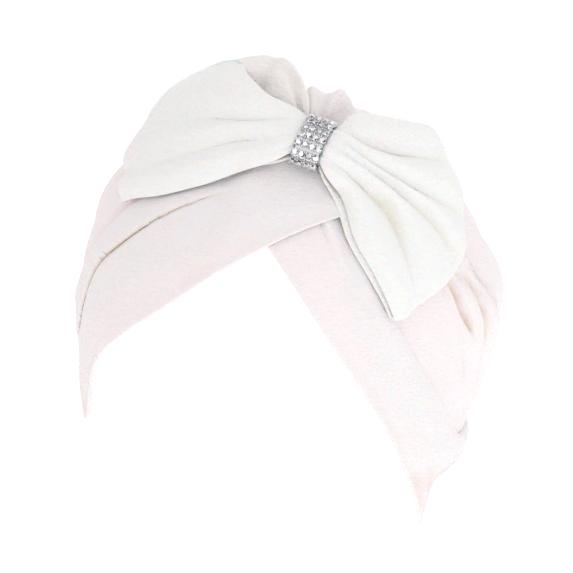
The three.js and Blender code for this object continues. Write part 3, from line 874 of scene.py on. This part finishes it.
def right_band_relief(base, turn, rise, across):
    """The soft pleat, a flare towards the tip, soft wrinkles, and edges that roll."""
    line = finely(RIGHT_PLEAT, 60)
    path = on_head(direction(line[:, 0], line[:, 1]), BAND_LIFT)
    distance, place = beside(base, path)
    fade = smooth(place, *PLEAT_GROWS) * (1 - smooth(place, *PLEAT_FADES))
    relief = fade * (bump(distance - 2.4, *PLEAT_RIDGE) - bump(distance, *PLEAT_GROOVE))
    near_tip = smooth(turn, *TIP_STARTS) * (1 - smooth(turn, *TIP_ENDS))
    relief = relief + TIP_FLARE * smooth(-rise, *TIP_FLARES) * near_tip
    relief = relief + size_mm("wrinkle_depth") * 0.7 * noise(
        across * 5 + turn / 40, turn / 17, seed=41)
    return relief + bump(across, *BAND_LOWER_ROLL) + bump(1 - across, *RIGHT_UPPER_ROLL)


# Bow

def knot_gathers(angle):
    """Gathers round the bow's centre, from about -1 to 1."""
    return sum(share * np.cos(count * angle + phase) for count, share, phase in KNOT_GATHERS)


def on_bundle(along, angle, shrink):
    """Points round the oval of the bow's centre, drawn in by shrink."""
    flute = 1 - shrink / BUNDLE_HALF_DEPTH
    return at_bow(along + 0.0 * angle, -np.cos(angle) * BUNDLE_HALF_HEIGHT * flute,
                  np.sin(angle) * BUNDLE_HALF_DEPTH * flute)


def layer_points(table, side, face, out, across):
    """Points of a loop's front or back layer: row by row across its folds, out from the knot."""
    place = across * (len(table) - 1)
    reach = through(table[:, REACH], place)
    bearings = np.stack(columns(table[:, BEARING:LIFT], place))
    lifts = np.stack([folded(table[:, LIFT + quarter], place, table[:, SHARP] * keen)
                      for quarter, keen in enumerate(FOLD_KEENNESS)])
    bearing = through(bearings, out * 4).T
    lift = through(lifts, out * 4).T - creases(side, face, out, across)
    reached = reach[:, None] * (LOOP_START + (1 - LOOP_START) * out[None, :])
    fan = on_head(from_knot(bearing, reached), lift)
    fan_start = on_head(from_knot(bearings[0], reach * LOOP_START), lifts[0])
    return pinched(fan, fan_start, side, face, out, across)


def creases(side, face, out, across):
    """Depth of a layer's own creases, measured on a plane of the layer's rough size."""
    scale = np.array(LAYER_SIZE)
    spot = np.stack(np.broadcast_arrays(out[None, :], across[:, None]), -1) * scale
    depth = np.zeros(spot.shape[:-1])
    for row in LOOP_CREASES[(LOOP_CREASES[:, 0] == side) & (LOOP_CREASES[:, 1] == face)]:
        start = row[[2, 3]] * scale
        way = row[[4, 5]] * scale - start
        part = np.clip((spot - start) @ way / (way @ way), 0, 1)
        gap = np.linalg.norm(spot - start - part[..., None] * way, axis=-1)
        depth = depth + row[6] * bump(gap, row[7]) * (1 - 0.7 * part)
    return depth


def pinched(fan, fan_start, side, face, out, across):
    """Draws a layer's first stretch in to the oval of the bow's centre."""
    angle = math.pi * (LOOP_EDGE + (1 - 2 * LOOP_EDGE) * across) * face
    at_knot = on_bundle(side * (BUNDLE_HALF_LENGTH - LOOP_SEAT), angle, 0.3)
    pull = (1 - smooth(out, 0, LOOP_PINCH))[None, :, None]
    return fan + (at_knot - fan_start)[:, None, :] * pull


def loop_grid(front, back, side, seed):
    """Middle of a loop's cloth: line by line across its folds, each out, round and back."""
    across = edge_places(150, 4, 0.006)
    out = np.linspace(0, 1, LOOP_STEPS)
    near_side = layer_points(front, side, 1, out, across)
    far_side = layer_points(back, side, -1, out, across)
    front_end = near_side[:, -1:]
    back_end = far_side[:, -1:]
    way = unit(front_end - near_side[:, -3:-2])
    bulge = np.linalg.norm(front_end - back_end, axis=-1, keepdims=True) * LOOP_TURN
    part = np.linspace(0, 1, LOOP_END_STEPS)[1:-1][None, :, None]
    turn = (front_end * (1 - part) ** 3 + 3 * (front_end + way * bulge) * part * (1 - part) ** 2
            + 3 * (back_end + way * bulge) * part ** 2 * (1 - part) + back_end * part ** 3)
    grid = np.concatenate([near_side, turn, far_side[:, ::-1]], axis=1)
    ends = np.ones(turn.shape[1])
    away = np.concatenate([out, ends, out[::-1]])[None, :]
    face = np.concatenate([1 + 0 * out, ends, -1 + 0 * out])[None, :]
    normals = outward_normals(grid)
    angle = math.pi * (LOOP_EDGE + (1 - 2 * LOOP_EDGE) * across[:, None]) * face
    gather = knot_gathers(angle) * (1 - smooth(away, 0.02, 0.3))
    run = lengths(grid, 1)
    soft = (noise(across[:, None] * 7 + 3 + 0 * run, run / 34, seed)
            + 0.4 * noise(across[:, None] * 19 + 0 * run, run / 26, seed + 1))
    relief = (size_mm("gather_depth") * gather
              + size_mm("wrinkle_depth") * soft * smooth(away, 0.05, 0.4))
    return grid + normals * relief[..., None]


def bundle_grid():
    """Middle of the gathered centre's cloth, ring by ring through the stone band."""
    angle = np.linspace(0, 2 * math.pi, BUNDLE_COLUMNS, endpoint=False)[None, :]
    part = np.linspace(-1, 1, BUNDLE_ROWS)[:, None]
    gather = size_mm("gather_depth") * 0.5 * knot_gathers(angle) * smooth(np.abs(part), 0.6, 0.95)
    grow = 1 + (gather - BUNDLE_CLEARANCE) / BUNDLE_HALF_DEPTH
    return at_bow(part * BUNDLE_HALF_LENGTH + 0.0 * angle,
                  -np.cos(angle) * BUNDLE_HALF_HEIGHT * grow,
                  np.sin(angle) * BUNDLE_HALF_DEPTH * grow)


# Materials

class Wire:
    """A node's output that Python's operators work on."""

    def __init__(self, finish, socket):
        self.finish = finish
        self.socket = socket

    def maths(self, operation, first, second):
        return self.finish.add("ShaderNodeMath", {"operation": operation}, {0: first, 1: second})

    def __add__(self, other):
        return self.maths("ADD", self, other)

    def __rsub__(self, other):
        return self.maths("SUBTRACT", other, self)

    def __mul__(self, other):
        return self.maths("MULTIPLY", self, other)


class Finish:
    """Node tree of one material."""

    def __init__(self, name):
        self.material = bpy.data.materials.new(name)
        self.material.use_nodes = True
        self.tree = self.material.node_tree
        self.tree.nodes.clear()

    def add(self, kind, settings=None, values=None, output=0):
        """Adds a node, sets it first and then its sockets, and returns one of its outputs."""
        node = self.tree.nodes.new(kind)
        for key, value in (settings or {}).items():
            setattr(node, key, value)
        for key, value in (values or {}).items():
            if isinstance(value, Wire):
                self.tree.links.new(value.socket, node.inputs[key])
            else:
                node.inputs[key].default_value = value
        return Wire(self, node.outputs[output])

    def mix(self, factor, first, second):
        return self.add("ShaderNodeMix", {"data_type": "RGBA"},
                        {0: factor, 6: first, 7: second}, 2)

    def surface(self, shader):
        """Links a shader to the material's output, and returns the material."""
        node = self.tree.nodes.new("ShaderNodeOutputMaterial")
        self.tree.links.new(shader.socket, node.inputs["Surface"])
        return self.material


def colour(value):
    """A colour with full alpha, as a node's socket takes it."""
    return (value[0], value[1], value[2], 1.0)


def crepe(name, cloth):
    """Pebbled matt crepe in the colours of a cloth, with shade painted in where a fold lies deep.
    """
    colours = bpy.context.scene.turban_colours
    grain = bpy.context.scene.turban_sizes.grain
    tint = colour(getattr(colours, cloth + "_crepe"))
    shade = colour(getattr(colours, cloth + "_shade"))
    finish = Finish(name)
    place = finish.add("ShaderNodeTexCoord", output="Object")
    stir = finish.add("ShaderNodeTexNoise", None,
                      {"Vector": place, "Scale": 0.32 / grain, "Detail": 1.0}, "Color")
    moved = finish.add("ShaderNodeVectorMath", {"operation": "MULTIPLY_ADD"},
                       {0: stir, 1: (0.9 * grain,) * 3, 2: place})
    pebble = finish.add("ShaderNodeTexVoronoi", {"feature": "SMOOTH_F1"},
                        {"Vector": moved, "Scale": 1.0 / grain, "Smoothness": 0.7}, "Distance")
    fine = finish.add("ShaderNodeTexNoise", None,
                      {"Vector": place, "Scale": 1.9 / grain, "Detail": 2.0}, "Fac")
    cloudy = finish.add("ShaderNodeTexNoise", None,
                        {"Vector": place, "Scale": 45.0, "Detail": 2.0}, "Fac")
    ripple = finish.add("ShaderNodeVectorMath", {"operation": "MULTIPLY"},
                        {0: place, 1: (260.0, 260.0, 900.0)})
    ripple = finish.add("ShaderNodeTexNoise", None,
                        {"Vector": ripple, "Scale": 1.0, "Detail": 1.0, "Distortion": 0.6}, "Fac")
    height = (1 - pebble) * 0.6 + fine * 0.3 + ripple * 0.9
    # Painted shade: the cloth's colour is mixed towards its shade colour by how deep a fold lies.
    deep = finish.add("ShaderNodeAttribute", {"attribute_name": "fold_depth"}, None, "Fac")
    tone = finish.mix(deep, tint, shade)
    tone = finish.mix(cloudy * 0.06, tone, (1.0, 0.97, 0.96, 1.0))
    # Painted shade in the grain's hollows: where the pebbles' height is low, a tenth of the shade
    # colour is mixed in.
    tone = finish.mix(pebble * 0.10, tone, shade)
    relief = finish.add("ShaderNodeBump", None,
                        {"Strength": 1.0, "Distance": 0.0004, "Height": height})
    shader = finish.add("ShaderNodeBsdfPrincipled", None, {
        "Base Color": tone,
        "Roughness": fine * 0.12 + 0.76,
        "Normal": relief,
        "Specular IOR Level": 0.25,
        "Sheen Weight": 0.2,
        "Sheen Roughness": 0.4,
        "Subsurface Weight": 0.35,
        "Subsurface Scale": 0.002,
    })
    return finish.surface(shader)


def polished_metal(name, tint):
    """Bright metal, slightly rubbed."""
    finish = Finish(name)
    place = finish.add("ShaderNodeTexCoord", output="Object")
    rub = finish.add("ShaderNodeTexNoise", None,
                     {"Vector": place, "Scale": 2400.0, "Detail": 2.0}, "Fac")
    relief = finish.add("ShaderNodeBump", None,
                        {"Strength": 0.25, "Distance": 0.00005, "Height": rub})
    shader = finish.add("ShaderNodeBsdfPrincipled", None, {
        "Base Color": finish.mix(rub, colour(tint), (0.5, 0.5, 0.52, 1.0)),
        "Metallic": 1.0,
        "Roughness": rub * 0.15 + 0.14,
        "Normal": relief,
    })
    return finish.surface(shader)


def cut_stone(name):
    """Clear stone with a bright back and painted glints: each facet is coloured light or dark as a
    painted reflection.
    """
    finish = Finish(name)
    painted_glint = finish.add("ShaderNodeAttribute", {"attribute_name": "painted_glint"}, None, "Fac")
    dark = (0.03, 0.03, 0.04, 1.0)
    shader = finish.add("ShaderNodeBsdfPrincipled", None, {
        "Base Color": finish.mix(painted_glint, dark, (0.93, 0.94, 0.97, 1.0)),
        "Metallic": 0.85,
        "Roughness": painted_glint * -0.04 + 0.1,
        "Coat Weight": 1.0,
        "Coat Roughness": 0.02,
    })
    return finish.surface(shader)


# Stones, shaped with Blender's own tools

def stone_shape(radius):
    """One cut stone: a table, a ring of turned facets and a girdle, flat below."""
    bpy.ops.object.select_all(action="DESELECT")
    bpy.ops.mesh.primitive_cylinder_add(vertices=8, radius=radius, depth=radius * 0.16,
                                        location=(0, 0, 0))
    piece = bpy.context.object
    start_editing(piece)
    bpy.ops.mesh.select_mode(type="FACE")
    bpy.ops.mesh.select_all(action="DESELECT")
    bpy.ops.object.mode_set(mode="OBJECT")
    for polygon in piece.data.polygons:
        polygon.select = polygon.normal.z > 0.9
    bpy.ops.object.mode_set(mode="EDIT")
    bpy.ops.mesh.extrude_region_move(TRANSFORM_OT_translate={"value": (0, 0, radius * 0.36)})
    bpy.ops.transform.resize(value=(0.62, 0.62, 1), center_override=(0, 0, radius * 0.4))
    bpy.ops.transform.rotate(value=math.radians(22.5), orient_axis="Z",
                             center_override=(0, 0, radius * 0.4))
    bpy.ops.object.mode_set(mode="OBJECT")
    return piece


def cup_shape(radius):
    """A round cup with a rolled rim and four claws over its stone."""
    bpy.ops.object.select_all(action="DESELECT")
    bpy.ops.mesh.primitive_cylinder_add(vertices=20, radius=radius * 1.03, depth=radius * 0.9,
                                        location=(0, 0, -radius * 0.24))
    cup = bpy.context.object
    bevel = cup.modifiers.new("rolled_rim", "BEVEL")
    bevel.width = radius * 0.16
    bevel.segments = 2
    bpy.ops.object.modifier_apply(modifier=bevel.name)
    claws = []
    for along, across in ((-0.7, -0.86), (0.7, -0.86), (0.7, 0.86), (-0.7, 0.86)):
        bpy.ops.mesh.primitive_uv_sphere_add(
            segments=10, ring_count=6, radius=radius * 0.3,
            location=(along * radius, across * radius, radius * 0.36))
        claws.append(bpy.context.object)
    bpy.ops.object.select_all(action="DESELECT")
    for claw in claws:
        claw.select_set(True)
    cup.select_set(True)
    bpy.context.view_layer.objects.active = cup
    bpy.ops.object.join()
    bpy.ops.object.transform_apply(location=True, rotation=True, scale=True)
    return cup


def stone_places():
    """Place and turn of each stone round the oval of the band, in millimetres."""
    places = []
    pitch = 2 * STRIP_HALF_WIDTH / STONE_COLUMNS
    tall = STRIP_HALF_HEIGHT + STRIP_WALL
    deep = STRIP_HALF_DEPTH + STRIP_WALL
    fine = np.radians(np.linspace(90 - STONE_ARC / 2, 90 + STONE_ARC / 2, 721))
    steps = np.hypot(np.diff(np.cos(fine)) * tall, np.diff(np.sin(fine)) * deep)
    run = np.concatenate([[0], np.cumsum(steps)])
    for row in range(STONE_ROWS):
        angle = float(np.interp(run[-1] * (row + 0.5) / STONE_ROWS, run, fine))
        foot_up = math.cos(angle) * tall
        foot_out = math.sin(angle) * deep
        way = np.array([math.cos(angle) * deep, math.sin(angle) * tall])
        way = way / np.linalg.norm(way)
        out = bow_up * way[0] + knot_out * way[1]
        for column in range(STONE_COLUMNS):
            along = (column + 0.5) * pitch - STRIP_HALF_WIDTH
            foot = at_bow(along, foot_up, foot_out)
            side = np.cross(out, bow_along)
            places.append((foot, np.stack([bow_along, side, out], -1)))
    return places


def copies_of(shape, name, places, raise_mm, keep_painted_glint):
    """Copies of a small shape at every stone's place, as one mesh. For the stones, each facet gets
    a painted glint, light or dark at random.
    """
    source = shape.data
    count = len(source.vertices)
    local = np.zeros(count * 3)
    source.vertices.foreach_get("co", local)
    local = local.reshape(-1, 3) * TO_MM
    faces = [list(polygon.vertices) for polygon in source.polygons]
    random = np.random.default_rng(7)
    points = []
    polygons = []
    painted_glints = []
    for index, (foot, axes) in enumerate(places):
        spin = random.uniform(-0.25, 0.25) if keep_painted_glint else 0.0
        turn = np.array([[math.cos(spin), -math.sin(spin), 0],
                         [math.sin(spin), math.cos(spin), 0], [0, 0, 1]])
        spot = (local + np.array([0, 0, raise_mm])) @ (axes @ turn).T + foot
        points.append(spot)
        polygons += [[vertex + index * count for vertex in face] for face in faces]
        # Painted glints: each facet gets a light or dark value at random, a painted reflection.
        painted_glints += [float(random.choice([0.5, 0.9, 1.0, 1.0])) if len(face) > 4 else
                    float(random.choice([0.0, 0.35, 0.9, 1.0, 1.0])) for face in faces]
    piece = linked(name, to_frame(np.concatenate(points)).tolist(), polygons)
    if keep_painted_glint:
        attribute = piece.data.attributes.new("painted_glint", "FLOAT", "FACE")
        attribute.data.foreach_set("value", painted_glints)
    bpy.data.objects.remove(shape)
    return piece


def strip_object(name):
    """Oval metal strip that the cups stand on."""
    angle = np.linspace(0, 2 * math.pi, 96, endpoint=False)
    section = [(-0.9, 0.2), (-0.87, 0.7), (-0.8, 0.85), (0.8, 0.85), (0.87, 0.7), (0.9, 0.2),
               (0.87, 0.0), (-0.87, 0.0)]
    rings = []
    for along, wall in section:
        up = -np.cos(angle) * (STRIP_HALF_HEIGHT + STRIP_WALL * wall)
        out = np.sin(angle) * (STRIP_HALF_DEPTH + STRIP_WALL * wall)
        rings.append(at_bow(np.full(angle.shape, along * STRIP_HALF_WIDTH), up, out))
    grid = np.stack(rings, 0)
    rows, columns = grid.shape[:2]
    index = np.arange(rows * columns).reshape(rows, columns)
    below = np.roll(index, -1, axis=0)
    faces = np.stack([index, np.roll(index, -1, axis=1), np.roll(below, -1, axis=1), below], -1)
    piece = linked(name, to_frame(grid.reshape(-1, 3)).tolist(), faces.reshape(-1, 4).tolist())
    merge_and_face_out(piece)
    return piece


# Operators

class TURBAN_OT_crown(bpy.types.Operator):
    """Make the pleated crown of the cap"""

    bl_idname = "turban.crown"
    bl_label = "Crown"

    def execute(self, context):
        piece = cloth_object("cap_crown", crown_grid(), size_mm("crown_wall") / 2, goes_round=True)
        dress(piece, crepe("cap_crepe_crown", "cap"), "crown")
        return {"FINISHED"}


class TURBAN_OT_bands(bpy.types.Operator):
    """Make the two folded bands that cross at the front"""

    bl_idname = "turban.bands"
    bl_label = "Crossed Bands"

    def execute(self, context):
        finish = crepe("cap_crepe_bands", "cap")
        made = (("band_right", RIGHT_BAND, right_band_lift, right_band_relief, RIGHT_PLEAT),
                ("band_left", LEFT_BAND, left_band_lift, left_band_relief, LEFT_TUCK))
        for node, table, lift_at, relief_at, line in made:
            grid = band_grid(table, lift_at, relief_at, line)
            half = edge_taper(grid, size_mm("band_wall") / 2, 1)
            piece = cloth_object(node + "_fold", grid, half)
            dress(piece, finish, node)
        return {"FINISHED"}


class TURBAN_OT_bow(bpy.types.Operator):
    """Make the bow's two loops and its gathered centre"""

    bl_idname = "turban.bow"
    bl_label = "Bow"

    def execute(self, context):
        finish = crepe("bow_crepe", "bow")
        half_wall = size_mm("bow_wall") / 2
        made = (("bow_left_loop", LEFT_LOOP_FRONT, LEFT_LOOP_BACK, -1, 51),
                ("bow_right_loop", RIGHT_LOOP_FRONT, RIGHT_LOOP_BACK, 1, 61))
        for name, front, back, side, seed in made:
            grid = loop_grid(front, back, side, seed)
            # Painted shade on the loops' inner faces, set by inside.
            piece = cloth_object(name, grid, edge_taper(grid, half_wall, 0), inside=0.15)
            dress(piece, finish, "bow")
        centre = cloth_object("bow_gather", bundle_grid(), half_wall, goes_round=True)
        dress(centre, finish, "bow")
        return {"FINISHED"}


class TURBAN_OT_stones(bpy.types.Operator):
    """Make the metal strip, its cups and the cut stones in them"""

    bl_idname = "turban.stones"
    bl_label = "Stone Band"

    def execute(self, context):
        radius = context.scene.turban_sizes.stone_radius
        places = stone_places()
        metal = polished_metal("silver_cups", context.scene.turban_colours.metal)
        strip = strip_object("stone_strip")
        cups = copies_of(cup_shape(radius), "stone_cups", places, 0.3, False)
        stones = copies_of(stone_shape(radius), "cut_stones", places, 0.5, True)
        for piece, finish in ((strip, metal), (cups, metal), (stones, cut_stone("cut_stone"))):
            dress(piece, finish, "stone_band")
        return {"FINISHED"}


class TURBAN_OT_stage(bpy.types.Operator):
    """Set up the pale floor, the soft lights and the camera"""

    bl_idname = "turban.stage"
    bl_label = "Stage"

    def execute(self, context):
        scene = context.scene
        scene.view_settings.view_transform = "Standard"
        floor = square("studio_floor", FLOOR_HALF_WIDTH, FLOOR_LEVEL)
        finish = Finish("pale_floor")
        shader = finish.add("ShaderNodeBsdfPrincipled", None, {
            "Base Color": colour(scene.turban_colours.floor),
            "Roughness": 0.9,
            "Specular IOR Level": 0.1,
            "Emission Color": (1.0, 1.0, 1.0, 1.0),
            "Emission Strength": 0.35,
        })
        floor.data.materials.append(finish.surface(shader))
        world = bpy.data.worlds.new("soft_white")
        world.use_nodes = True
        background = world.node_tree.nodes["Background"]
        background.inputs["Color"].default_value = (1.0, 1.0, 1.0, 1.0)
        background.inputs["Strength"].default_value = 1.0
        scene.world = world
        for light in LIGHTS:
            add_light(*light)
        add_card()
        place_camera(scene)
        return {"FINISHED"}


def square(name, half, level):
    """Level square about the vertical axis."""
    corners = [(-half, -half, level), (half, -half, level), (half, half, level),
               (-half, half, level)]
    return linked(name, corners, [(0, 1, 2, 3)])


def aim(piece, place, target, axis):
    """Puts a lamp or card in place, unseen by the camera, with one of its axes to a target."""
    piece.location = place
    way = Vector(target) - Vector(place)
    piece.rotation_euler = way.to_track_quat(axis, "Y").to_euler()
    piece.visible_camera = False


def add_light(name, place, target, size, power, tint):
    """Round soft light."""
    light = bpy.data.lights.new(name, "AREA")
    light.shape = "DISK"
    light.size = size
    light.energy = power
    light.color = tint
    lamp = bpy.data.objects.new(name, light)
    aim(lamp, place, target, "-Z")
    bpy.context.scene.collection.objects.link(lamp)


def add_card():
    """Pale card on the left, which dims the white light a little on that side."""
    card = square("side_card", CARD_HALF_WIDTH, 0.0)
    aim(card, CARD_PLACE, HAT_MIDDLE, "Z")
    finish = Finish("rosy_card")
    shader = finish.add("ShaderNodeBsdfDiffuse", None, {"Color": colour(CARD_TINT)})
    card.data.materials.append(finish.surface(shader))


def place_camera(scene):
    """Camera at the photograph's viewing angle, leaning as it does, with its frame shifted."""
    data = bpy.data.cameras.new("camera")
    data.sensor_width = SENSOR_WIDTH
    data.lens = FOCUS_PIXELS / FRAME_PIXELS * SENSOR_WIDTH
    data.shift_x = (FRAME_PIXELS / 2 - CENTRE_PIXEL[0]) / FRAME_PIXELS
    data.shift_y = (CENTRE_PIXEL[1] - FRAME_PIXELS / 2) / FRAME_PIXELS
    camera = bpy.data.objects.new("camera", data)
    camera.matrix_world = (
        Matrix.Translation((0, 0, -HEAD_HALF_HEIGHT * TO_METRES))
        @ Matrix.Rotation(math.radians(CAMERA_TURN), 4, "Z")
        @ Matrix.Rotation(math.radians(90 - CAMERA_RISE), 4, "X")
        @ Matrix.Rotation(math.radians(CAMERA_ROLL), 4, "Z")
        @ Matrix.Translation((0, 0, CAMERA_DISTANCE)))
    scene.collection.objects.link(camera)
    scene.camera = camera


class TURBAN_PT_panel(bpy.types.Panel):
    """Turban hat's sizes, colours and pieces"""

    bl_idname = "TURBAN_PT_panel"
    bl_label = "Turban Hat"
    bl_space_type = "VIEW_3D"
    bl_region_type = "UI"
    bl_category = "Turban"

    def draw(self, context):
        layout = self.layout
        for group in (context.scene.turban_sizes, context.scene.turban_colours):
            for key in group.__annotations__:
                layout.prop(group, key)
        for operator in OPERATORS:
            layout.operator(operator.bl_idname)


OPERATORS = (TURBAN_OT_crown, TURBAN_OT_bands, TURBAN_OT_bow, TURBAN_OT_stones, TURBAN_OT_stage)
CLASSES = (TurbanSizes, TurbanColours) + OPERATORS + (TURBAN_PT_panel,)


def register():
    for each in CLASSES:
        bpy.utils.register_class(each)
    bpy.types.Scene.turban_sizes = bpy.props.PointerProperty(type=TurbanSizes)
    bpy.types.Scene.turban_colours = bpy.props.PointerProperty(type=TurbanColours)


def unregister():
    del bpy.types.Scene.turban_colours
    del bpy.types.Scene.turban_sizes
    for each in reversed(CLASSES):
        bpy.utils.unregister_class(each)


def main():
    register()
    bpy.ops.turban.crown()
    bpy.ops.turban.bands()
    bpy.ops.turban.bow()
    bpy.ops.turban.stones()
    bpy.ops.turban.stage()


if __name__ == "__main__":
    main()
